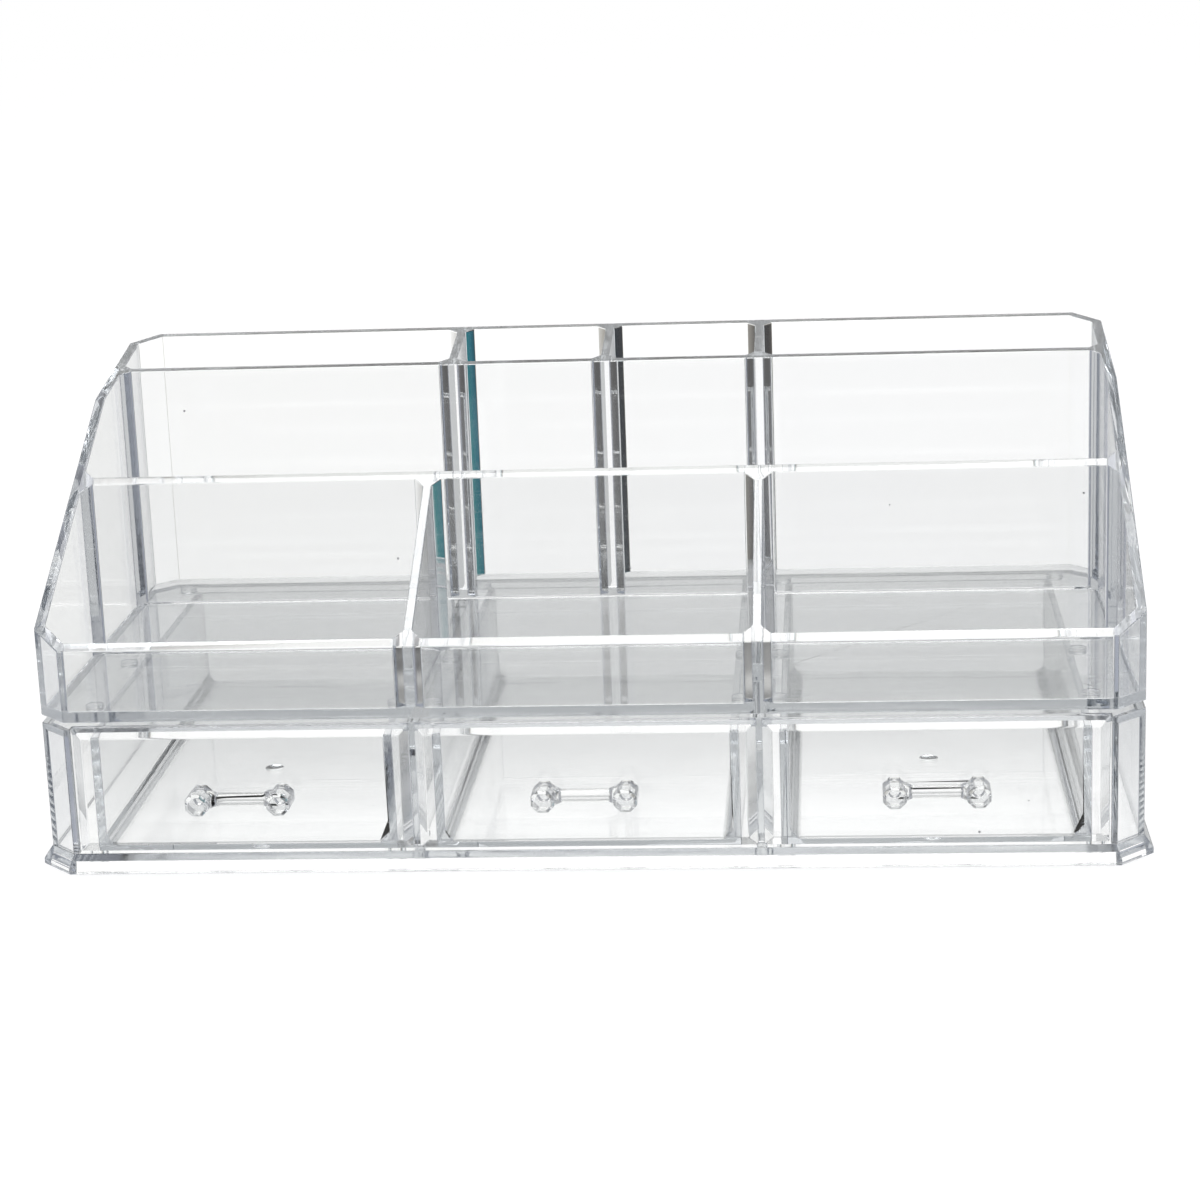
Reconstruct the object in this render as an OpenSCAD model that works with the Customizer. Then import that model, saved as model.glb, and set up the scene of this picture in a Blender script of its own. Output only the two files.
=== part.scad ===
// Clear moulded desk organizer: a stepped compartment tray standing on a
// low housing with three drawers side by side, on a flared base plate.
// Millimetres. +Z is up, -Y is the drawer side. The origin lies on the
// resting plane, in the middle of the whole object's footprint.

/* [Footprint] */
// Width across the outer side walls of tray and housing
body_w = 300; // [280:1:340]
// Depth from the drawer side to the back wall
body_d = 150; // [140:1:200]
// Leg of the cut corners on the drawer side
front_cut = 8; // [7:0.5:12]
// Leg of the cut corners at the back
back_cut = 8; // [5:0.5:12]

/* [Compartment tray] */
// Height of the tray from its underside to the back rim
tray_back_h = 81; // [74:1:90]
// Height of the tray where the rim starts to fall steeply
tray_bend_h = 71.4; // [50:0.2:74]
// Height of the tray from its underside to the front rim
tray_front_h = 20.2; // [14:0.1:30]
// Run of the rim from the back wall to where it starts to fall steeply
rim_run = 56; // [40:1:80]
// Thickness of the outer wall
tray_wall = 2.9; // [2:0.1:3.4]
// Thickness of the floor
tray_floor = 2.4; // [1.6:0.1:4]
// Thickness of the two long cross walls
cross_wall = 2.9; // [2:0.1:3.6]
// Thickness of the short dividers
divider_wall = 2.5; // [1.6:0.1:3.4]
// Clear depth of the rear row of compartments
rear_row = 28; // [24:1:40]
// Clear depth of the long trough behind the front row
trough = 53.5; // [40:0.5:62]
// Spacing of the dividers in the rear row
rear_pitch = 46.2; // [34:0.1:60]
// Leg of the small corner webs where one wall meets another
gusset = 2.6; // [1:0.1:4]

/* [Drawer housing] */
// Width of the flat strip beside the outer drawer fronts
stile = 1.6; // [1:0.1:4]
// Clear height of a drawer bay
bay_h = 33.3; // [26:0.1:45]
// Thickness of the housing's outer wall
housing_wall = 2.6; // [2:0.1:3.2]
// Thickness of the housing's top plate
top_plate = 2.4; // [1.6:0.1:4]
// Thickness of the two partitions between the bays
partition = 2.9; // [2:0.1:4]
// Length of each tenon under a partition
tenon_l = 12; // [6:1:18]
// Depth of each tenon under a partition
tenon_h = 4.4; // [3:0.1:5]
// Distance from a partition's end to its first tenon
tenon_inset = 2; // [1:0.5:8]

/* [Base plate] */
// Height of the base plate from its lip to its top
base_h = 5.2; // [5:0.1:8]
// Thickness of the web that carries the housing
base_web = 2.7; // [2:0.1:3]
// How far the plinth flares out past the housing
flare = 2.5; // [1:0.1:4]
// Height of the upright lip under the flare
lip_h = 1.7; // [1:0.1:2.6]
// Thickness of the skirt at the lip
skirt = 3.2; // [2.6:0.1:5]

/* [Drawers] */
// Gap between neighbouring drawer fronts
front_gap = 1.4; // [0.8:0.1:3]
// Thickness of a drawer front
front_t = 3.2; // [2.8:0.1:4]
// Width of the sloped border round a drawer front
border_w = 2.7; // [1.5:0.1:5]
// Depth of the sloped border round a drawer front
border_t = 1.5; // [0.8:0.1:2.2]
// How far a drawer front reaches past the side of its bin
front_lap = 4.9; // [4:0.1:7]
// Thickness of a bin's side and back walls
bin_wall = 2.1; // [1.4:0.1:3]
// Thickness of a bin's bottom
bin_floor = 2; // [1.4:0.1:3]
// Radius inside a bin where the sides meet the bottom
bin_round = 3; // [1:0.5:8]
// Room above the bin walls
bin_headroom = 1.2; // [0.4:0.1:4]
// Room behind the bin when the drawer is shut
bin_backroom = 1.4; // [0.6:0.1:6]

/* [Handles] */
// Width of an eight-sided knob across its flats
knob_w = 6.4; // [5:0.1:9]
// Length of a knob out from the drawer front
knob_l = 9; // [7:0.1:14]
// Bevel round the outer end of a knob
knob_bevel = 0.9; // [0.4:0.1:1.6]
// Distance between the two knobs of a handle
knob_pitch = 22.2; // [14:0.1:40]
// Diameter of the bar that joins the knobs
bar_d = 3.6; // [2:0.1:4.4]
// Distance of the bar's centre from the drawer front
bar_out = 3.1; // [2.6:0.1:5]
// Diameter of the bar where it swells into a knob
bar_swell_d = 5; // [4.5:0.1:5.2]
// Length of the swelling
bar_swell_l = 1.6; // [0.8:0.1:4]
// Diameter of the peg behind each knob
peg_d = 3; // [2:0.1:4]
// Length of the peg behind each knob
peg_l = 2; // [1:0.1:2.4]
// How far the handle sits below the middle of the drawer front
handle_drop = 1.5; // [0:0.1:4]

/* [Feet and pads] */
// Diameter of the feet under the base plate
foot_d = 5; // [4:0.1:9]
// How far the feet stand out below the lip
foot_out = 0.5; // [0.3:0.1:2]
// Distance of the feet from the housing's front and back faces
foot_inset = 8; // [6:0.5:14]
// Diameter of the pads under the tray
pad_d = 5; // [3:0.1:7]
// Distance of the outer rows of pads from the tray's front and back faces
pad_inset = 12.5; // [7:0.5:16]
// Distance of the second row of pads from the drawer side
pad_row_in = 54; // [30:1:70]
// Height of the gap between the housing's top and the tray
tray_gap = 2; // [1:0.1:4]

/* [Fits] */
// Running and seating clearance between bodies that move
run_gap = 0.3; // [0.2:0.05:0.5]
// Clearance round a glued peg or tenon
glue_gap = 0.15; // [0.05:0.05:0.3]

/* [Hidden] */
$fn = 48;
over = 1;
eighth_turn = 45;
quarter_turn = 90;
knob_sides = 8;
foot_columns = 4;
pads_per_bay = 2;

bays = [-1, 0, 1];

lip_z = foot_out;
base_top = lip_z + base_h;
web_z = base_top - base_web;
plate_z = base_top + bay_h;
housing_top = plate_z + top_plate;
tray_z = housing_top + tray_gap;

front_y = -body_d / 2;
back_y = body_d / 2;
front_back_y = front_y + front_t;
bay_front_y = front_back_y + run_gap;
bay_back_y = back_y - housing_wall;
stile_x = body_w / 2 - front_cut - stile;
bay_pitch = (2 * (stile_x - run_gap) + front_gap) / len(bays);
partition_x = bay_pitch / 2;
front_w = bay_pitch - front_gap;

front_z = base_top + run_gap;
front_h = housing_top - front_z;
bin_w = front_w - 2 * front_lap;
bin_top = plate_z - bin_headroom;
bin_back_y = bay_back_y - bin_backroom;
handle_z = front_z + front_h / 2 - handle_drop;

inner_back_y = back_y - tray_wall;
rear_wall_y = inner_back_y - rear_row - cross_wall;
front_wall_y = rear_wall_y - trough - cross_wall;
inner_front_y = front_y + tray_wall;
rim_bend_y = back_y - rim_run;
rim_rise = (tray_bend_h - tray_front_h) / (rim_bend_y - front_y);
rim_back_rise = (tray_back_h - tray_bend_h) / rim_run;

y_origin = (knob_l - flare) / 2;

bay_names = ["left", "middle", "right"];
drawer_names = [for (name = bay_names) str("drawer_", name)];
handle_names = [for (name = bay_names) str("handle_", name)];

foot_x_outer = body_w / 2 - foot_inset - foot_d;
foot_x_inner = partition_x + foot_d + skirt / 2;
foot_xs = [-foot_x_outer, -foot_x_inner, foot_x_inner, foot_x_outer];
foot_rows = ["front", "rear"];
foot_ys = [front_y + foot_inset, back_y - foot_inset];
foot_names = [for (row = foot_rows) for (i = [1:foot_columns]) str("foot_", row, "_", i)];
foot_spots = [for (y = foot_ys) for (x = foot_xs) [x, y]];

pad_reach = bay_pitch / 2 - pad_d;
pad_xs = [for (bay = bays) for (side = [-1, 1]) bay * bay_pitch + side * pad_reach];
pad_rows = ["front", "middle", "rear"];
pad_ys = [front_y + pad_inset, front_y + pad_row_in, back_y - pad_inset];
pad_names = [for (row = pad_rows) for (i = [1:len(bays) * pads_per_bay]) str("tray_pad_", row, "_", i)];
pad_spots = [for (y = pad_ys) for (x = pad_xs) [x, y]];

clear_tint = "aliceblue";
shade_tint = "lightsteelblue";
edge_tint = "lightblue";
handle_tint = "powderblue";
pad_tint = "azure";

// Leg of a cut corner after its outline moves in by inset
function moved_leg(leg, inset) = leg - inset * (2 - sqrt(2));

// Rectangle with four cut corners, moved in by inset
module footprint(inset) {
    x = body_w / 2 - inset;
    y = body_d / 2 - inset;
    front = moved_leg(front_cut, inset);
    back = moved_leg(back_cut, inset);
    polygon([
        [-x + front, -y], [x - front, -y], [x, -y + front], [x, y - back],
        [x - back, y], [-x + back, y], [-x, y - back], [-x, -y + front]]);
}

// Upright slab seen from the side: its outline lies in Y and Z
module side_extrude(width) {
    rotate([quarter_turn, 0, quarter_turn])
        linear_extrude(height = width, center = true)
            children();
}

// Plan of a wall along +Y that widens into both walls it joins
module web_plan(length, thickness, bite) {
    half = thickness / 2;
    wide = half + gusset;
    polygon([
        [-wide, -bite], [wide, -bite], [wide, 0], [half, gusset],
        [half, length - gusset], [wide, length], [wide, length + bite],
        [-wide, length + bite], [-wide, length], [-half, length - gusset],
        [-half, gusset], [-wide, 0]]);
}

// Plan of a long cross wall whose front face lies at y
module cross_plan(y) {
    length = body_w - 2 * tray_wall;
    translate([-length / 2, y + cross_wall / 2])
        rotate(-quarter_turn)
            web_plan(length, cross_wall, tray_wall / 2);
}

// Plan of every wall inside the tray
module compartment_plan() {
    cross_plan(rear_wall_y);
    cross_plan(front_wall_y);
    for (column = [-1, 0, 1])
        translate([column * rear_pitch, rear_wall_y + cross_wall])
            web_plan(rear_row, divider_wall, cross_wall / 2);
    for (side = [-1, 1])
        translate([side * partition_x, inner_front_y])
            web_plan(front_wall_y - inner_front_y, divider_wall, cross_wall / 2);
}

// Side outline of the tray: the rim falls gently from the back wall to its
// bend, then steeply to the front wall
module tray_side() {
    polygon([
        [front_y - over, 0], [back_y + over, 0],
        [back_y + over, tray_back_h + over * rim_back_rise],
        [rim_bend_y, tray_bend_h],
        [front_y - over, tray_front_h - over * rim_rise]]);
}

module compartment_tray() {
    color(clear_tint)
        translate([0, 0, tray_z])
            intersection() {
                union() {
                    linear_extrude(height = tray_floor) footprint(0);
                    linear_extrude(height = tray_back_h + over) {
                        difference() {
                            footprint(0);
                            footprint(tray_wall);
                        }
                        compartment_plan();
                    }
                }
                side_extrude(body_w + 2 * over) tray_side();
            }
}

// A partition between two bays, with a tenon at each end
module partition_wall() {
    length = bay_back_y - bay_front_y;
    translate([-partition / 2, bay_front_y, base_top])
        cube([partition, length + housing_wall / 2, bay_h + top_plate / 2]);
    for (y = [bay_front_y + tenon_inset, bay_back_y - tenon_inset - tenon_l])
        translate([-partition / 2, y, base_top - tenon_h])
            cube([partition, tenon_l, tenon_h + top_plate]);
}

module drawer_housing() {
    front_band = bay_front_y - front_y + over;
    color(shade_tint) {
        difference() {
            translate([0, 0, base_top])
                linear_extrude(height = bay_h + top_plate) footprint(0);
            translate([0, 0, base_top - over])
                linear_extrude(height = bay_h + over) footprint(housing_wall);
            translate([-stile_x, front_y - over, base_top - over])
                cube([2 * stile_x, front_band, bay_h + top_plate + 2 * over]);
        }
        for (side = [-1, 1])
            translate([side * partition_x, 0, 0]) partition_wall();
    }
}

// Outline of the plinth's edge: upright lip, then sloping in to the top.
// reach is the distance of the lip from the middle of the plate.
module plinth_edge(reach) {
    polygon([
        [-reach, 0], [reach, 0], [reach, lip_h], [reach - flare, base_h],
        [flare - reach, base_h], [-reach, lip_h]]);
}

// The plinth's edge along one pair of sides, turned by an angle
module plinth_run(reach, angle) {
    rotate([0, 0, angle])
        rotate([quarter_turn, 0, 0])
            linear_extrude(height = 2 * (body_w + body_d), center = true)
                plinth_edge(reach);
}

// The plinth's edge at the cut corners, where front and back legs differ
module plinth_corners(angle) {
    half_sum = (body_w + body_d) / 2;
    front_reach = (half_sum - front_cut) / sqrt(2) + flare;
    back_reach = (half_sum - back_cut) / sqrt(2) + flare;
    rotate([0, 0, angle])
        rotate([quarter_turn, 0, 0])
            linear_extrude(height = 2 * (body_w + body_d), center = true)
                polygon([
                    [-front_reach, 0], [back_reach, 0], [back_reach, lip_h],
                    [back_reach - flare, base_h], [flare - front_reach, base_h],
                    [-front_reach, lip_h]]);
}

module base_plate() {
    color(edge_tint)
        difference() {
            translate([0, 0, lip_z])
                intersection() {
                    plinth_run(body_w / 2 + flare, 0);
                    plinth_run(body_d / 2 + flare, quarter_turn);
                    plinth_corners(eighth_turn);
                    plinth_corners(quarter_turn + eighth_turn);
                }
            translate([0, 0, lip_z - over])
                linear_extrude(height = web_z - lip_z + over)
                    footprint(skirt - flare);
            for (side = [-1, 1])
                for (y = [bay_front_y + tenon_inset, bay_back_y - tenon_inset - tenon_l])
                    translate([
                        side * partition_x - partition / 2 - glue_gap,
                        y - glue_gap,
                        web_z - over])
                        cube([
                            partition + 2 * glue_gap,
                            tenon_l + 2 * glue_gap,
                            base_web + 2 * over]);
        }
}

// Flat slab with a sloped border all round its outer face
module drawer_front() {
    half_h = front_h / 2;
    translate([0, front_y, front_z + half_h])
        intersection() {
            linear_extrude(height = front_h, center = true)
                polygon([
                    [-front_w / 2, front_t], [-front_w / 2, border_t],
                    [-front_w / 2 + border_w, 0], [front_w / 2 - border_w, 0],
                    [front_w / 2, border_t], [front_w / 2, front_t]]);
            side_extrude(front_w)
                polygon([
                    [front_t, -half_h], [border_t, -half_h],
                    [0, -half_h + border_w], [0, half_h - border_w],
                    [border_t, half_h], [front_t, half_h]]);
        }
}

// Section of a bin's hollow, with its two lower corners rounded
module bin_hollow() {
    x = bin_w / 2 - bin_wall;
    low = front_z + bin_floor;
    difference() {
        translate([-x, low]) square([2 * x, bin_top - low + over]);
        for (side = [-1, 1])
            translate([side * (x - bin_round / 2), low + bin_round / 2])
                difference() {
                    square(bin_round, center = true);
                    translate([-side * bin_round / 2, bin_round / 2])
                        circle(r = bin_round);
                }
    }
}

module drawer(bay) {
    color(clear_tint)
        translate([bay * bay_pitch, 0, 0])
            difference() {
                union() {
                    drawer_front();
                    translate([-bin_w / 2, front_back_y - front_t / 2, front_z])
                        cube([
                            bin_w,
                            bin_back_y - front_back_y + front_t / 2,
                            bin_top - front_z]);
                }
                translate([0, bin_back_y - bin_wall, 0])
                    rotate([quarter_turn, 0, 0])
                        linear_extrude(height = bin_back_y - bin_wall - front_back_y)
                            bin_hollow();
                for (side = [-1, 1])
                    translate([side * knob_pitch / 2, front_y - over, handle_z])
                        rotate([-quarter_turn, 0, 0])
                            cylinder(d = peg_d + 2 * glue_gap, h = peg_l + glue_gap + over);
            }
}

// One eight-sided knob standing out along -Y, with its peg behind it
module knob() {
    across_corners = knob_w / cos(quarter_turn / 4);
    end_across = (knob_w - 2 * knob_bevel) / cos(quarter_turn / 4);
    body_l = knob_l - knob_bevel;
    rotate([quarter_turn, 0, 0]) {
        rotate([0, 0, quarter_turn / 4]) {
            cylinder(d = across_corners, h = body_l, $fn = knob_sides);
            translate([0, 0, body_l])
                cylinder(d1 = across_corners, d2 = end_across, h = knob_bevel, $fn = knob_sides);
        }
        translate([0, 0, -peg_l])
            cylinder(d = peg_d, h = peg_l + body_l / 2);
    }
}

// Half of the bar, swelling into the knob on its +X end
module half_bar() {
    straight = knob_pitch / 2 - knob_w / 2 - bar_swell_l;
    rotate([0, quarter_turn, 0]) {
        cylinder(d = bar_d, h = straight);
        translate([0, 0, straight])
            cylinder(d1 = bar_d, d2 = bar_swell_d, h = bar_swell_l);
        translate([0, 0, straight + bar_swell_l])
            cylinder(d = bar_swell_d, h = knob_w / 2);
    }
}

module handle(bay) {
    color(handle_tint)
        translate([bay * bay_pitch, front_y, handle_z]) {
            for (side = [-1, 1])
                translate([side * knob_pitch / 2, 0, 0]) knob();
            translate([0, -bar_out, 0]) {
                half_bar();
                mirror([1, 0, 0]) half_bar();
            }
        }
}

// Round foot inside the skirt, under the web
module foot(spot) {
    color(pad_tint)
        translate([spot[0], spot[1], 0])
            cylinder(d = foot_d, h = web_z);
}

// Round pad under the tray, standing just over the housing's top
module tray_pad(spot) {
    color(pad_tint)
        translate([spot[0], spot[1], housing_top + run_gap])
            cylinder(d = pad_d, h = tray_gap - run_gap);
}

// Moves a piece from the housing's middle to the whole object's middle
module placed() {
    translate([0, y_origin, 0]) children();
}

placed() compartment_tray();
placed() drawer_housing();
placed() base_plate();
for (i = [0:len(bays) - 1])
    placed() drawer(bays[i]);
for (i = [0:len(bays) - 1])
    placed() handle(bays[i]);
for (i = [0:len(foot_names) - 1])
    placed() foot(foot_spots[i]);
for (i = [0:len(pad_names) - 1])
    placed() tray_pad(pad_spots[i]);
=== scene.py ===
from math import pi, radians

import bpy
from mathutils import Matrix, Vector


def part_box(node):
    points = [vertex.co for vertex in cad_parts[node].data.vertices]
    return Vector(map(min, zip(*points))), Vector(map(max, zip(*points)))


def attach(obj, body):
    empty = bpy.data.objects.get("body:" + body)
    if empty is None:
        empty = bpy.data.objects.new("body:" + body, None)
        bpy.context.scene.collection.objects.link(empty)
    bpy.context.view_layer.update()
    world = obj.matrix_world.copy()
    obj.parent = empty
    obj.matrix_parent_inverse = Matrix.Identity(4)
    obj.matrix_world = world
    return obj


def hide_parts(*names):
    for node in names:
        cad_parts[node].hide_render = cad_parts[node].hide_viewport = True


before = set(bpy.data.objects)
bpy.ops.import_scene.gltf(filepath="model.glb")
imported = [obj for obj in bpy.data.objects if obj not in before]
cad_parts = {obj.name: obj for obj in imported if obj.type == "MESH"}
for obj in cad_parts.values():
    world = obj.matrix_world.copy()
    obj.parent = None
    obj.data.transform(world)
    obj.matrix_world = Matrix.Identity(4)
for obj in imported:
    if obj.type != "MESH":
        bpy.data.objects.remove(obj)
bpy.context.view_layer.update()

bl_info = {
    "name": "Clear Drawer Organizer",
    "version": (1, 0, 0),
    "blender": (4, 5, 0),
    "location": "3D View > Sidebar > Organizer",
    "description": "Finishes a clear moulded drawer organizer and sets its studio",
    "category": "Object",
}

MM = 0.001
BAYS = ("left", "middle", "right")
FOOT_ROWS = ("front", "rear")
PAD_ROWS = ("front", "middle", "rear")
# Gate marks that show, by drawer, as places across and along from the middle of its floor
GATE_MARKS = {"left": (-4.3 * MM, -5.0 * MM), "right": (0.5 * MM, -3.3 * MM)}
FEET_IN_ROW = 4
PADS_IN_ROW = 6

# Sizes of the mesh work
MERGE_DISTANCE = 0.001 * MM
FLAT_ANGLE = radians(0.5)
SHARP_ANGLE = radians(25)
SMOOTH_ANGLE = radians(50)
ROUND_SEGMENTS = 2
FULL_AREA_WEIGHT = 100
DISH_SEGMENTS = 64
DISH_RINGS = 96

# Noise between which a hairline rises, out of 1
HAIRLINE_NOISE = (0.66, 0.74)

# Light paths that the many panes need, and the camera's clipping range in metres
CLEAR_BOUNCES = 64
DIFFUSE_BOUNCES = 2
CLIP_RANGE = (0.01, 50.0)

# Surroundings: white where the camera sees them
WHITE = (1.0, 1.0, 1.0, 1.0)
# Colour stops of the rest by azimuth, from the back (0) to the front (1), as
# position, red, green and blue. The sweep is what the plastic shows straight through.
SWEEP = (
    (0.0, 1.14, 1.14, 1.14),
    (0.125, 1.12, 1.12, 1.10),
    (0.150, 0.40, 0.38, 0.34),
    (0.170, 0.05, 0.045, 0.04),
    (0.195, 0.015, 0.02, 0.025),
    (0.203, 0.01, 0.13, 0.18),
    (0.215, 0.01, 0.20, 0.21),
    (0.225, 1.12, 1.12, 1.12),
    (0.30, 1.12, 1.12, 1.12),
    (0.36, 0.25, 0.26, 0.28),
    (0.60, 0.08, 0.08, 0.09),
    (0.95, 0.20, 0.20, 0.20),
)
# How bright the sweep is by height, from straight down (0) to straight up (1); its grey straight down is
# painted shade, standing in for the table shaded under the object
SWEEP_HEIGHTS = (
    (0.0, 0.50, 0.50, 0.50),
    (0.06, 0.60, 0.60, 0.59),
    (0.10, 1.0, 1.0, 1.0),
    (0.66, 1.0, 1.0, 1.0),
    (0.70, 0.14, 0.14, 0.15),
    (0.79, 0.10, 0.10, 0.11),
    (0.83, 1.0, 1.0, 0.98),
)
# What the plastic mirrors, by azimuth, below, level with and above it
STUDIO_LOW = (
    (0.0, 1.0, 1.0, 1.0),
    (0.20, 0.90, 0.91, 0.93),
    (0.30, 0.50, 0.52, 0.56),
    (0.40, 0.45, 0.47, 0.52),
    (0.55, 0.35, 0.37, 0.42),
    (0.70, 0.18, 0.19, 0.22),
    (0.77, 0.05, 0.05, 0.06),
    (0.90, 0.05, 0.05, 0.06),
    (0.93, 0.95, 0.95, 0.93),
)
STUDIO_LEVEL = (
    (0.0, 0.66, 0.67, 0.67),
    (0.24, 0.62, 0.63, 0.64),
    (0.30, 0.20, 0.21, 0.25),
    (0.45, 0.42, 0.45, 0.52),
    (0.60, 0.45, 0.46, 0.50),
    (0.75, 0.20, 0.20, 0.22),
    (0.93, 0.12, 0.12, 0.12),
    (1.0, 0.12, 0.12, 0.12),
)
STUDIO_HIGH = (
    (0.0, 1.10, 1.10, 1.08),
    (0.15, 1.10, 1.10, 1.08),
    (0.20, 0.55, 0.56, 0.58),
    (0.40, 0.55, 0.57, 0.60),
    (0.80, 0.35, 0.36, 0.37),
    (0.90, 1.0, 1.0, 0.96),
)
# Sines of the elevation between which one band of the studio gives way to the next
LOW_TO_LEVEL = (-0.33, -0.29)
LEVEL_TO_HIGH = (0.305, 0.335)


class ORGANIZER_PG_sizes(bpy.types.PropertyGroup):
    """Small sizes of the moulded pieces that the construction leaves out."""

    edge_round: bpy.props.FloatProperty(
        name="Edge round", description="Radius that the mould leaves on the edges of the large pieces",
        default=0.3 * MM, min=0.0, unit="LENGTH", precision=5)
    small_round: bpy.props.FloatProperty(
        name="Small edge round", description="Radius on the edges of handles, feet and pads",
        default=0.15 * MM, min=0.0, unit="LENGTH", precision=5)
    air_film: bpy.props.FloatProperty(
        name="Air film", description="Air left at each face where two pieces rest on each other",
        default=0.02 * MM, min=0.0, unit="LENGTH", precision=6)
    drawer_floor: bpy.props.FloatProperty(
        name="Drawer floor", description="Thickness of a drawer's floor, where its gate mark is",
        default=2.0 * MM, min=0.0, unit="LENGTH", precision=5)
    gate_width: bpy.props.FloatProperty(
        name="Gate mark width", description="Width of the dish that the mould's gate leaves",
        default=5.5 * MM, min=0.0, unit="LENGTH", precision=5)
    gate_depth: bpy.props.FloatProperty(
        name="Gate mark depth", description="Depth of the dish that the mould's gate leaves",
        default=0.55 * MM, min=0.0, unit="LENGTH", precision=5)


class ORGANIZER_PG_plastic(bpy.types.PropertyGroup):
    """The clear plastic and what moulding leaves in it."""

    tint: bpy.props.FloatVectorProperty(
        name="Tint", description="Colour of the light that one pane lets through",
        default=(0.995, 0.997, 0.998), subtype="COLOR", min=0.0, max=1.0)
    depth_tint: bpy.props.FloatVectorProperty(
        name="Depth tint", description="Colour that long ways through the plastic turn to",
        default=(0.50, 0.54, 0.58), subtype="COLOR", min=0.0, max=1.0)
    depth_density: bpy.props.FloatProperty(
        name="Depth density", description="How fast the plastic takes on its depth tint, per metre",
        default=5.0, min=0.0)
    refraction: bpy.props.FloatProperty(
        name="Refraction", description="Index of refraction of clear polystyrene",
        default=1.57, min=1.0, max=2.5)
    shadow: bpy.props.FloatVectorProperty(
        name="Shadow", description="Colour of the light that one face lets through to the floor",
        default=(0.94, 0.95, 0.955), subtype="COLOR", min=0.0, max=1.0)
    haze: bpy.props.FloatProperty(
        name="Haze", description="Roughness of a clean moulded face",
        default=0.004, subtype="FACTOR", min=0.0, max=1.0)
    wipe_haze: bpy.props.FloatProperty(
        name="Wipe haze", description="Roughness in the faint hairlines that wiping leaves",
        default=0.06, subtype="FACTOR", min=0.0, max=1.0)
    flow_depth: bpy.props.FloatProperty(
        name="Flow depth", description="Height of the slow waves that the flow of the plastic leaves",
        default=0.02 * MM, min=0.0, unit="LENGTH", precision=6)
    wall_flow: bpy.props.FloatVectorProperty(
        name="Wall flow", description="Waves per metre along X, Y and Z in the tray and the housing",
        default=(14.0, 40.0, 160.0), subtype="XYZ", min=0.0)
    drawer_flow: bpy.props.FloatVectorProperty(
        name="Drawer flow", description="Waves per metre along X, Y and Z in drawers and base",
        default=(60.0, 16.0, 110.0), subtype="XYZ", min=0.0)
    small_flow: bpy.props.FloatVectorProperty(
        name="Small flow", description="Waves per metre along X, Y and Z in handles, feet and pads",
        default=(180.0, 180.0, 180.0), subtype="XYZ", min=0.0)
    hairline_stretch: bpy.props.FloatVectorProperty(
        name="Hairline stretch", description="Hairlines per metre along X, Y and Z",
        default=(40.0, 300.0, 1600.0), subtype="XYZ", min=0.0)
    speck_spacing: bpy.props.FloatProperty(
        name="Speck spacing", description="Usual distance between specks",
        default=30 * MM, min=0.001, unit="LENGTH")
    speck_size: bpy.props.FloatProperty(
        name="Speck size", description="Radius of a speck",
        default=0.35 * MM, min=0.0, unit="LENGTH", precision=5)
    speck_haze: bpy.props.FloatProperty(
        name="Speck haze", description="Roughness added in a speck",
        default=0.5, subtype="FACTOR", min=0.0, max=1.0)
    speck_tint: bpy.props.FloatVectorProperty(
        name="Speck tint", description="Colour of the light that gets through a speck",
        default=(0.12, 0.12, 0.13), subtype="COLOR", min=0.0, max=1.0)
    foot_haze: bpy.props.FloatProperty(
        name="Foot haze", description="Roughness of the feet and pads, which are less polished",
        default=0.12, subtype="FACTOR", min=0.0, max=1.0)


class ORGANIZER_PG_studio(bpy.types.PropertyGroup):
    """Camera, floor, surroundings and lamp."""

    camera_place: bpy.props.FloatVectorProperty(
        name="Camera place", description="Where the camera stands",
        default=(0.0664, -0.8109, 0.2738), subtype="TRANSLATION", unit="LENGTH")
    camera_turn: bpy.props.FloatVectorProperty(
        name="Camera turn", description="Tilt, roll and heading of the camera",
        default=(radians(75.03), radians(2.07), radians(4.14)), subtype="EULER")
    lens: bpy.props.FloatProperty(
        name="Lens", description="Focal length on a 36 mm sensor, in millimetres",
        default=86.93, unit="CAMERA", min=10.0)
    floor_size: bpy.props.FloatProperty(
        name="Floor size", description="Side of the square floor",
        default=6.0, min=1.0, unit="LENGTH")
    floor_white: bpy.props.FloatVectorProperty(
        name="Floor white", description="Colour of the floor",
        default=(1.0, 1.0, 1.0), subtype="COLOR", min=0.0, max=1.0)
    floor_lit: bpy.props.FloatProperty(
        name="Floor lit share", description="Share of the floor's brightness that shadows can take",
        default=0.2, subtype="FACTOR", min=0.0, max=1.0)
    lamp_level: bpy.props.FloatProperty(
        name="Lamp level", description="Power of the overhead soft box",
        default=6.0, unit="POWER", min=0.0)
    lamp_place: bpy.props.FloatVectorProperty(
        name="Lamp place", description="Where the overhead soft box hangs, facing down",
        default=(0.0, 0.1, 1.1), subtype="TRANSLATION", unit="LENGTH")
    lamp_size: bpy.props.FloatVectorProperty(
        name="Lamp size", description="Width and depth of the overhead soft box",
        default=(0.9, 0.6), size=2, unit="LENGTH")


def deselect_all():
    bpy.ops.object.select_all(action="DESELECT")


def make_active(piece):
    deselect_all()
    piece.select_set(True)
    bpy.context.view_layer.objects.active = piece


def apply_modifiers(piece):
    make_active(piece)
    for modifier in list(piece.modifiers):
        bpy.ops.object.modifier_apply(modifier=modifier.name)


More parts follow.
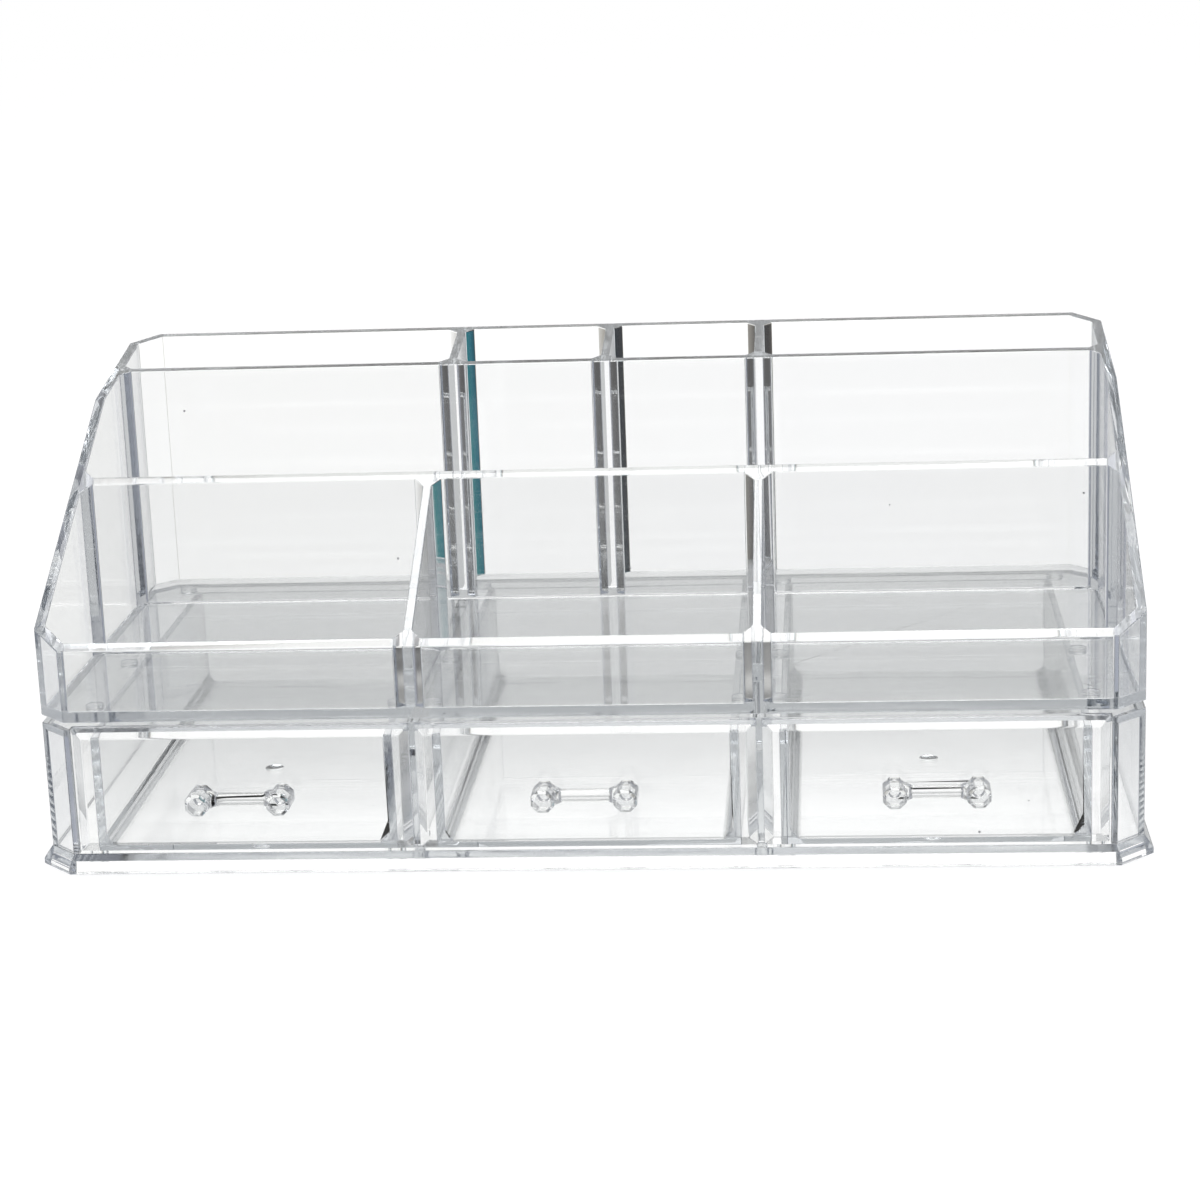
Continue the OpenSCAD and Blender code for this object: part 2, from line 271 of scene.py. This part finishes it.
def merged_copy(node, name, air_film):
    """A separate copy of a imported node's mesh, merged, with each face moved in by any air film."""
    piece = bpy.data.objects.new(name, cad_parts[node].data.copy())
    bpy.context.scene.collection.objects.link(piece)
    piece.data.materials.clear()
    make_active(piece)
    bpy.ops.object.mode_set(mode="EDIT")
    bpy.ops.mesh.select_mode(type="VERT")
    bpy.ops.mesh.select_all(action="SELECT")
    bpy.ops.mesh.customdata_custom_splitnormals_clear()
    bpy.ops.mesh.remove_doubles(threshold=MERGE_DISTANCE)
    bpy.ops.mesh.dissolve_limited(angle_limit=FLAT_ANGLE)
    bpy.ops.mesh.vert_connect_concave()
    if air_film > 0.0:
        bpy.ops.transform.shrink_fatten(value=-air_film, use_even_offset=True)
    bpy.ops.object.mode_set(mode="OBJECT")
    return piece


def dish(piece, centre, width, depth):
    """Cuts a shallow round dish, a gate mark, into a face that looks up."""
    radius = (width ** 2 / 4.0 + depth ** 2) / (2.0 * depth)
    deselect_all()
    x, y, z = centre
    bpy.ops.mesh.primitive_uv_sphere_add(
        segments=DISH_SEGMENTS, ring_count=DISH_RINGS, radius=radius,
        location=(x, y, z + radius - depth))
    ball = bpy.context.object
    make_active(piece)
    cut = piece.modifiers.new("gate_mark", "BOOLEAN")
    cut.operation = "DIFFERENCE"
    cut.object = ball
    apply_modifiers(piece)
    bpy.data.objects.remove(ball)


def round_edges(piece, width):
    """Rounds every sharp edge of a piece, and shades the flats flat and the rounds round."""
    make_active(piece)
    bevel = piece.modifiers.new("edge_round", "BEVEL")
    bevel.width = width
    bevel.segments = ROUND_SEGMENTS
    bevel.limit_method = "ANGLE"
    bevel.angle_limit = SHARP_ANGLE
    bevel.use_clamp_overlap = False
    bevel.miter_outer = "MITER_ARC"
    apply_modifiers(piece)
    bpy.ops.object.shade_smooth_by_angle(angle=SMOOTH_ANGLE)
    weighted = piece.modifiers.new("flat_faces", "WEIGHTED_NORMAL")
    weighted.mode = "FACE_AREA"
    weighted.weight = FULL_AREA_WEIGHT
    weighted.keep_sharp = True
    apply_modifiers(piece)


def math_node(tree, operation, first, second=0.0):
    """A math node on one or two values, each a socket or a number."""
    node = tree.nodes.new("ShaderNodeMath")
    node.operation = operation
    for socket, value in zip(node.inputs, (first, second)):
        if isinstance(value, bpy.types.NodeSocket):
            tree.links.new(value, socket)
        else:
            socket.default_value = value
    return node.outputs["Value"]


def map_range(tree, value, low, high, smooth=False):
    """0 below low and 1 above high, rising between them; the other way round if low is the higher."""
    node = tree.nodes.new("ShaderNodeMapRange")
    node.interpolation_type = "SMOOTHSTEP" if smooth else "LINEAR"
    node.inputs["From Min"].default_value = low
    node.inputs["From Max"].default_value = high
    tree.links.new(value, node.inputs["Value"])
    return node.outputs["Result"]


def vector_math(tree, operation, first, second=None):
    """A vector math node on one or two sockets; SCALE takes a number's socket second."""
    node = tree.nodes.new("ShaderNodeVectorMath")
    node.operation = operation
    tree.links.new(first, node.inputs[0])
    if second is not None:
        tree.links.new(second, node.inputs["Scale" if operation == "SCALE" else 1])
    return node.outputs["Value" if operation == "LENGTH" else "Vector"]


def mixed(tree, factor, first, second, blend="MIX"):
    """A mix of two colours, each a socket or a colour, by a socket or a number."""
    node = tree.nodes.new("ShaderNodeMix")
    node.data_type = "RGBA"
    node.blend_type = blend
    if isinstance(factor, bpy.types.NodeSocket):
        tree.links.new(factor, node.inputs["Factor"])
    else:
        node.inputs["Factor"].default_value = factor
    for socket, value in zip((node.inputs["A"], node.inputs["B"]), (first, second)):
        if isinstance(value, bpy.types.NodeSocket):
            tree.links.new(value, socket)
        else:
            socket.default_value = value
    return node.outputs["Result"]


def moulded_surface():
    """Node group: what moulding and use leave on clear plastic, as colour, roughness and height.

    Slow waves lie along the flow of the plastic, wiping leaves faint hairlines, and dust dark specks.
    """
    name = "moulded_surface"
    if name in bpy.data.node_groups:
        return bpy.data.node_groups[name]
    tree = bpy.data.node_groups.new(name, "ShaderNodeTree")
    sockets = (
        ("Vector", "INPUT", "NodeSocketVector"), ("Flow", "INPUT", "NodeSocketVector"),
        ("Hairlines", "INPUT", "NodeSocketVector"), ("Haze", "INPUT", "NodeSocketFloat"),
        ("Wipe Haze", "INPUT", "NodeSocketFloat"), ("Specks", "INPUT", "NodeSocketFloat"),
        ("Speck Size", "INPUT", "NodeSocketFloat"), ("Speck Haze", "INPUT", "NodeSocketFloat"),
        ("Clean", "INPUT", "NodeSocketColor"), ("Dirt", "INPUT", "NodeSocketColor"),
        ("Color", "OUTPUT", "NodeSocketColor"),
        ("Roughness", "OUTPUT", "NodeSocketFloat"), ("Height", "OUTPUT", "NodeSocketFloat"),
    )
    for label, way, kind in sockets:
        tree.interface.new_socket(name=label, in_out=way, socket_type=kind)
    given = tree.nodes.new("NodeGroupInput").outputs
    given_back = tree.nodes.new("NodeGroupOutput").inputs

    def noise(stretch):
        node = tree.nodes.new("ShaderNodeTexNoise")
        node.inputs["Scale"].default_value = 1.0
        node.inputs["Detail"].default_value = 0.0
        stretched = vector_math(tree, "MULTIPLY", given["Vector"], given[stretch])
        tree.links.new(stretched, node.inputs["Vector"])
        return node.outputs["Fac"]

    waves = noise("Flow")
    lines = map_range(tree, noise("Hairlines"), *HAIRLINE_NOISE, smooth=True)
    cells = vector_math(tree, "SCALE", given["Vector"], given["Specks"])
    corner = vector_math(tree, "FLOOR", cells)
    chance = tree.nodes.new("ShaderNodeTexWhiteNoise")
    tree.links.new(corner, chance.inputs["Vector"])
    in_cell = vector_math(tree, "SUBTRACT", cells, corner)
    offset = vector_math(tree, "SUBTRACT", in_cell, chance.outputs["Color"])
    away = vector_math(tree, "LENGTH", offset)
    reach = math_node(tree, "MULTIPLY", given["Speck Size"], given["Specks"])
    speck = math_node(tree, "LESS_THAN", away, reach)
    rough = math_node(tree, "ADD", given["Haze"], math_node(tree, "MULTIPLY", lines, given["Wipe Haze"]))
    rough = math_node(tree, "ADD", rough, math_node(tree, "MULTIPLY", speck, given["Speck Haze"]))
    tree.links.new(mixed(tree, speck, given["Clean"], given["Dirt"]), given_back["Color"])
    tree.links.new(rough, given_back["Roughness"])
    tree.links.new(waves, given_back["Height"])
    return tree


def surface_detail(tree, plastic, flow, haze):
    """Colour, roughness and bump of one material, with its flow waves stretched as given."""
    place = tree.nodes.new("ShaderNodeTexCoord")
    group = tree.nodes.new("ShaderNodeGroup")
    group.node_tree = moulded_surface()
    tree.links.new(place.outputs["Object"], group.inputs["Vector"])
    group.inputs["Flow"].default_value = flow
    group.inputs["Hairlines"].default_value = plastic.hairline_stretch
    group.inputs["Haze"].default_value = haze
    group.inputs["Wipe Haze"].default_value = plastic.wipe_haze
    group.inputs["Specks"].default_value = 1.0 / plastic.speck_spacing
    group.inputs["Speck Size"].default_value = plastic.speck_size
    group.inputs["Speck Haze"].default_value = plastic.speck_haze
    group.inputs["Clean"].default_value = (*plastic.tint, 1.0)
    group.inputs["Dirt"].default_value = (*plastic.speck_tint, 1.0)
    bump = tree.nodes.new("ShaderNodeBump")
    bump.inputs["Distance"].default_value = plastic.flow_depth
    tree.links.new(group.outputs["Height"], bump.inputs["Height"])
    return group.outputs["Color"], group.outputs["Roughness"], bump.outputs["Normal"]


def clear_plastic(name, plastic, flow, haze):
    """Clear moulded plastic: sharp refraction, a tint that grows with depth, and surface detail."""
    material = bpy.data.materials.new(name)
    material.use_nodes = True
    nodes, links = material.node_tree.nodes, material.node_tree.links
    nodes.clear()
    out = nodes.new("ShaderNodeOutputMaterial")
    glass = nodes.new("ShaderNodeBsdfPrincipled")
    colour, roughness, normal = surface_detail(material.node_tree, plastic, flow, haze)
    links.new(colour, glass.inputs["Base Color"])
    links.new(roughness, glass.inputs["Roughness"])
    links.new(normal, glass.inputs["Normal"])
    glass.inputs["IOR"].default_value = plastic.refraction
    glass.inputs["Transmission Weight"].default_value = 1.0
    see_through = nodes.new("ShaderNodeBsdfTransparent")
    see_through.inputs["Color"].default_value = (*plastic.shadow, 1.0)
    path = nodes.new("ShaderNodeLightPath")
    mix = nodes.new("ShaderNodeMixShader")
    links.new(path.outputs["Is Shadow Ray"], mix.inputs["Fac"])
    links.new(glass.outputs["BSDF"], mix.inputs[1])
    links.new(see_through.outputs["BSDF"], mix.inputs[2])
    links.new(mix.outputs["Shader"], out.inputs["Surface"])
    depth = nodes.new("ShaderNodeVolumeAbsorption")
    depth.inputs["Color"].default_value = (*plastic.depth_tint, 1.0)
    depth.inputs["Density"].default_value = plastic.depth_density
    links.new(depth.outputs["Volume"], out.inputs["Volume"])
    return material


def finished(piece, material, body, node):
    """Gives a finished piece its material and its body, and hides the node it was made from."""
    piece.data.materials.append(material)
    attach(piece, body)
    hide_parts(node)


def dress(node, body, material, width, air_film=0.0, gate=None):
    """Finishes one node: a merged copy with rounded edges and any gate mark, in clear plastic."""
    piece = merged_copy(node, f"clear_{node}", air_film)
    if gate is not None:
        dish(piece, *gate)
    round_edges(piece, width)
    finished(piece, material, body, node)


class ORGANIZER_OT_tray(bpy.types.Operator):
    """Finish the compartment tray."""

    bl_idname = "organizer.tray"
    bl_label = "Compartment tray"

    def execute(self, context):
        plastic = context.scene.organizer_plastic
        width = context.scene.organizer_sizes.edge_round
        material = clear_plastic("tray_plastic", plastic, plastic.wall_flow, plastic.haze)
        dress("compartment_tray", "tray", material, width)
        return {"FINISHED"}


class ORGANIZER_OT_housing(bpy.types.Operator):
    """Finish the drawer housing and its base plate."""

    bl_idname = "organizer.housing"
    bl_label = "Housing and base"

    def execute(self, context):
        plastic = context.scene.organizer_plastic
        sizes = context.scene.organizer_sizes
        material = clear_plastic("housing_plastic", plastic, plastic.wall_flow, plastic.haze)
        dress("drawer_housing", "housing", material, sizes.edge_round)
        material = clear_plastic("base_plastic", plastic, plastic.drawer_flow, plastic.haze)
        dress("base_plate", "housing", material, sizes.edge_round, sizes.air_film)
        return {"FINISHED"}


class ORGANIZER_OT_drawers(bpy.types.Operator):
    """Finish the three drawers."""

    bl_idname = "organizer.drawers"
    bl_label = "Drawers"

    def execute(self, context):
        plastic = context.scene.organizer_plastic
        sizes = context.scene.organizer_sizes
        width = sizes.edge_round
        material = clear_plastic("drawer_plastic", plastic, plastic.drawer_flow, plastic.haze)
        for bay in BAYS:
            gate = None
            if bay in GATE_MARKS:
                low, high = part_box(f"drawer_{bay}")
                across, along = GATE_MARKS[bay]
                place = ((low[0] + high[0]) / 2.0 + across, (low[1] + high[1]) / 2.0 + along)
                gate = ((*place, low[2] + sizes.drawer_floor), sizes.gate_width, sizes.gate_depth)
            dress(f"drawer_{bay}", f"{bay}_drawer", material, width, gate=gate)
        return {"FINISHED"}


class ORGANIZER_OT_handles(bpy.types.Operator):
    """Finish the three handles."""

    bl_idname = "organizer.handles"
    bl_label = "Handles"

    def execute(self, context):
        plastic = context.scene.organizer_plastic
        sizes = context.scene.organizer_sizes
        width, film = sizes.small_round, sizes.air_film
        material = clear_plastic("handle_plastic", plastic, plastic.small_flow, plastic.haze)
        for bay in BAYS:
            dress(f"handle_{bay}", f"{bay}_drawer", material, width, film)
        return {"FINISHED"}


class ORGANIZER_OT_feet(bpy.types.Operator):
    """Finish the feet under the base and the pads under the tray."""

    bl_idname = "organizer.feet"
    bl_label = "Feet and pads"

    def execute(self, context):
        plastic = context.scene.organizer_plastic
        sizes = context.scene.organizer_sizes
        width, film = sizes.small_round, sizes.air_film
        material = clear_plastic("foot_plastic", plastic, plastic.small_flow, plastic.foot_haze)
        for row in FOOT_ROWS:
            for number in range(1, FEET_IN_ROW + 1):
                dress(f"foot_{row}_{number}", "housing", material, width, film)
        for row in PAD_ROWS:
            for number in range(1, PADS_IN_ROW + 1):
                dress(f"tray_pad_{row}_{number}", "tray", material, width, film)
        return {"FINISHED"}


def floor_material(studio):
    """Pale floor: partly lit and partly its own white for the camera, and clear to rays in glass."""
    material = bpy.data.materials.new("floor_white")
    material.use_nodes = True
    tree = material.node_tree
    tree.nodes.clear()
    out = tree.nodes.new("ShaderNodeOutputMaterial")
    lit = tree.nodes.new("ShaderNodeBsdfDiffuse")
    lit.inputs["Color"].default_value = (*studio.floor_white, 1.0)
    white = tree.nodes.new("ShaderNodeEmission")
    white.inputs["Color"].default_value = (*studio.floor_white, 1.0)
    clear = tree.nodes.new("ShaderNodeBsdfTransparent")
    path = tree.nodes.new("ShaderNodeLightPath")
    bare = tree.nodes.new("ShaderNodeMixShader")
    tree.links.new(path.outputs["Is Camera Ray"], bare.inputs["Fac"])
    tree.links.new(clear.outputs["BSDF"], bare.inputs[1])
    tree.links.new(white.outputs["Emission"], bare.inputs[2])
    mix = tree.nodes.new("ShaderNodeMixShader")
    share = math_node(tree, "MULTIPLY", path.outputs["Is Camera Ray"], 1.0 - studio.floor_lit)
    share = math_node(tree, "ADD", share, path.outputs["Is Glossy Ray"])
    share = math_node(tree, "ADD", share, path.outputs["Is Transmission Ray"])
    tree.links.new(math_node(tree, "MINIMUM", share, 1.0), mix.inputs["Fac"])
    tree.links.new(lit.outputs["BSDF"], mix.inputs[1])
    tree.links.new(bare.outputs["Shader"], mix.inputs[2])
    tree.links.new(mix.outputs["Shader"], out.inputs["Surface"])
    return material


def colour_ramp(tree, factor, stops):
    """The colour of a ramp through stops of (position, red, green, blue)."""
    node = tree.nodes.new("ShaderNodeValToRGB")
    tree.links.new(factor, node.inputs["Fac"])
    elements = node.color_ramp.elements
    first_stops = len(elements)
    for index, (position, *colour) in enumerate(stops):
        element = elements[index] if index < first_stops else elements.new(1.0)
        element.position = position
        element.color = (*colour, 1.0)
    return node.outputs["Color"]


def studio_world(studio):
    """White for the camera, the sweep straight through the plastic, the studio in what it mirrors."""
    world = bpy.data.worlds.new("studio")
    bpy.context.scene.world = world
    world.use_nodes = True
    tree = world.node_tree
    tree.nodes.clear()
    out = tree.nodes.new("ShaderNodeOutputWorld")
    back = tree.nodes.new("ShaderNodeBackground")
    tree.links.new(back.outputs["Background"], out.inputs["Surface"])
    place = tree.nodes.new("ShaderNodeTexCoord")
    split = tree.nodes.new("ShaderNodeSeparateXYZ")
    tree.links.new(place.outputs["Generated"], split.inputs["Vector"])
    aside = math_node(tree, "ABSOLUTE", split.outputs["X"])
    turn = math_node(tree, "DIVIDE", math_node(tree, "ARCTAN2", aside, split.outputs["Y"]), pi)
    mirrored = colour_ramp(tree, turn, STUDIO_LOW)
    for heights, stops in ((LOW_TO_LEVEL, STUDIO_LEVEL), (LEVEL_TO_HIGH, STUDIO_HIGH)):
        step = map_range(tree, split.outputs["Z"], *heights)
        mirrored = mixed(tree, step, mirrored, colour_ramp(tree, turn, stops))
    # The sweep is multiplied by its height ramp, whose grey straight down is painted shade for the table
    # under the object
    height = map_range(tree, split.outputs["Z"], -1.0, 1.0)
    sweep = colour_ramp(tree, turn, SWEEP)
    sweep = mixed(tree, 1.0, sweep, colour_ramp(tree, height, SWEEP_HEIGHTS), blend="MULTIPLY")
    path = tree.nodes.new("ShaderNodeLightPath")
    bounced = math_node(tree, "MINIMUM", path.outputs["Glossy Depth"], 1.0)
    in_glass = mixed(tree, bounced, sweep, mirrored)
    reach = math_node(tree, "ADD", path.outputs["Is Glossy Ray"], path.outputs["Is Transmission Ray"])
    reach = math_node(tree, "MINIMUM", reach, 1.0)
    colour = mixed(tree, reach, WHITE, in_glass)
    tree.links.new(colour, back.inputs["Color"])


class ORGANIZER_OT_stage(bpy.types.Operator):
    """Set the floor, the surroundings, the lamp and the camera."""

    bl_idname = "organizer.stage"
    bl_label = "Stage"

    def execute(self, context):
        studio = context.scene.organizer_studio
        deselect_all()
        bpy.ops.mesh.primitive_plane_add(size=studio.floor_size, location=(0.0, 0.0, 0.0))
        floor = context.object
        floor.name = "floor"
        floor.data.materials.append(floor_material(studio))
        studio_world(studio)
        bpy.ops.object.light_add(type="AREA", location=studio.lamp_place)
        lamp = context.object
        lamp.name = "overhead_soft_box"
        lamp.data.shape = "RECTANGLE"
        lamp.data.size, lamp.data.size_y = studio.lamp_size
        lamp.data.energy = studio.lamp_level
        camera_data = bpy.data.cameras.new("photo_camera")
        camera = bpy.data.objects.new("photo_camera", camera_data)
        context.scene.collection.objects.link(camera)
        camera.location = studio.camera_place
        camera.rotation_euler = studio.camera_turn
        camera_data.lens = studio.lens
        camera_data.clip_start, camera_data.clip_end = CLIP_RANGE
        context.scene.camera = camera
        context.scene.view_settings.view_transform = "Standard"
        cycles = context.scene.cycles
        cycles.max_bounces = CLEAR_BOUNCES
        cycles.transmission_bounces = CLEAR_BOUNCES
        cycles.glossy_bounces = CLEAR_BOUNCES
        cycles.transparent_max_bounces = CLEAR_BOUNCES
        cycles.diffuse_bounces = DIFFUSE_BOUNCES
        return {"FINISHED"}


class ORGANIZER_PT_panel(bpy.types.Panel):
    """Lists the pieces of the organizer and its stage."""

    bl_label = "Organizer"
    bl_idname = "ORGANIZER_PT_panel"
    bl_space_type = "VIEW_3D"
    bl_region_type = "UI"
    bl_category = "Organizer"

    def draw(self, context):
        for step in STEPS:
            self.layout.operator(step.bl_idname)


STEPS = (
    ORGANIZER_OT_tray,
    ORGANIZER_OT_housing,
    ORGANIZER_OT_drawers,
    ORGANIZER_OT_handles,
    ORGANIZER_OT_feet,
    ORGANIZER_OT_stage,
)
GROUPS = {
    "organizer_sizes": ORGANIZER_PG_sizes,
    "organizer_plastic": ORGANIZER_PG_plastic,
    "organizer_studio": ORGANIZER_PG_studio,
}


def register():
    for cls in (*GROUPS.values(), *STEPS, ORGANIZER_PT_panel):
        bpy.utils.register_class(cls)
    for name, group in GROUPS.items():
        setattr(bpy.types.Scene, name, bpy.props.PointerProperty(type=group))


def unregister():
    for name in GROUPS:
        delattr(bpy.types.Scene, name)
    for cls in (ORGANIZER_PT_panel, *reversed(STEPS), *reversed(GROUPS.values())):
        bpy.utils.unregister_class(cls)


def main():
    register()
    for step in STEPS:
        area, verb = step.bl_idname.split(".")
        getattr(getattr(bpy.ops, area), verb)()


if __name__ == "__main__":
    main()
